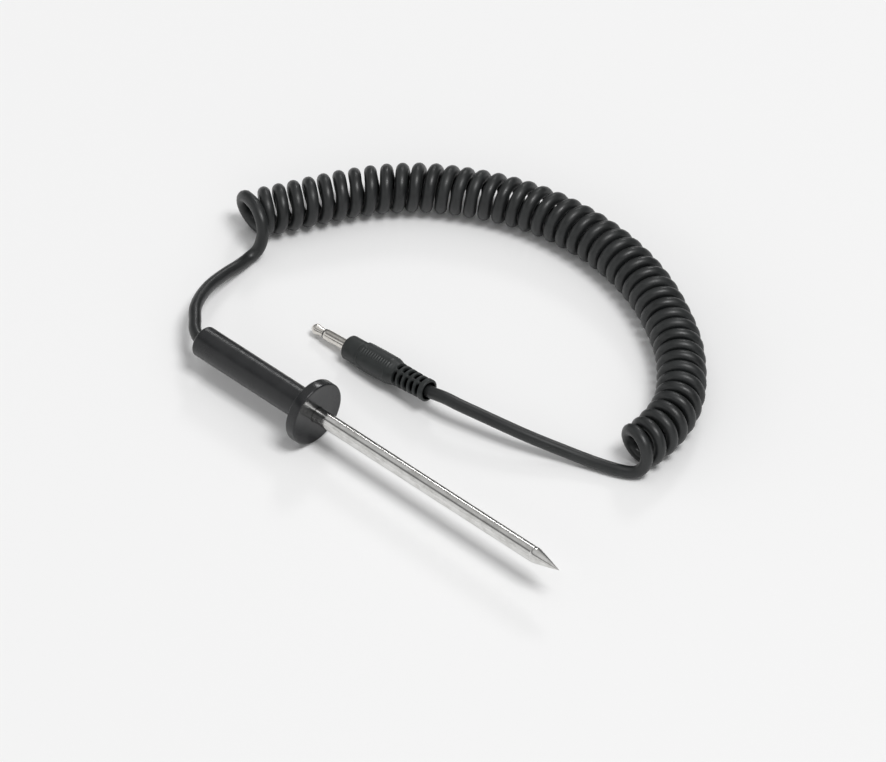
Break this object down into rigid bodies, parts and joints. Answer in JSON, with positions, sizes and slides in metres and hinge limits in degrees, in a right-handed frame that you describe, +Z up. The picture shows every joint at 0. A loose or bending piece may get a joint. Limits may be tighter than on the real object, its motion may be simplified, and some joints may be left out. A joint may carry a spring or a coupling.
{
  "type": "meat thermometer probe",
  "caption": "Slim steel penetration probe with a round handle and disc guard, wired through a curly cord to a small mono plug.",
  "frame": {"origin": "bottom centre of the probe (handle, guard and shaft), on the surface that the guard's rear edge stands on; the cord and the plug lie to its +Y side and are left out", "axes": "+X along the probe from the handle to the tip, seen from above; +Z up; +Y towards the side where the cord lies"},
  "size_m": [0.1863, 0.1351, 0.021],
  "materials": {
    "black_plastic": "satin black moulded plastic",
    "black_moulding": "matt black flexible moulding",
    "seal_rubber": "soft black rubber",
    "cord_jacket": "satin dark cord jacket",
    "polished_steel": "fine polished stainless steel",
    "nickel_plate": "bright nickel plate",
    "tinned_metal": "dull tin plate",
    "brass": "turned brass",
    "epoxy": "cast epoxy",
    "sleeving": "thin shrunk sleeving",
    "insulation": "black moulded insulation",
    "lead_red": "red wire covering",
    "lead_white": "white wire covering",
    "core_red": "red core covering",
    "core_white": "white core covering"
  },
  "bodies": {
    "root": {"handle_body": "black_plastic", "hand_guard": "black_plastic", "rear_grommet": "seal_rubber", "anchor_bush": "brass", "tube_seal": "seal_rubber", "cord_crimp": "tinned_metal", "cord_jacket_end": "cord_jacket", "cord_core_a": "core_red", "cord_core_b": "core_white", "splice_a": "sleeving", "splice_b": "sleeving", "probe_tube": "polished_steel", "probe_point": "polished_steel", "sensor_bead": "epoxy", "sensor_potting": "epoxy", "lead_sleeve": "sleeving", "sensor_lead_a": "lead_red", "sensor_lead_b": "lead_white", "cord_tail_handle": "cord_jacket", "cord_coil": "cord_jacket", "cord_tail_plug": "cord_jacket", "plug_overmould": "black_moulding", "plug_jacket_end": "cord_jacket", "plug_cord_crimp": "tinned_metal", "plug_inner_mould": "insulation", "plug_core_a": "core_red", "plug_core_b": "core_white", "plug_tip": "nickel_plate", "plug_insulator": "insulation", "plug_sleeve": "nickel_plate", "plug_sleeve_tag": "tinned_metal", "plug_tip_tag": "tinned_metal"}
  },
  "joints": []
}
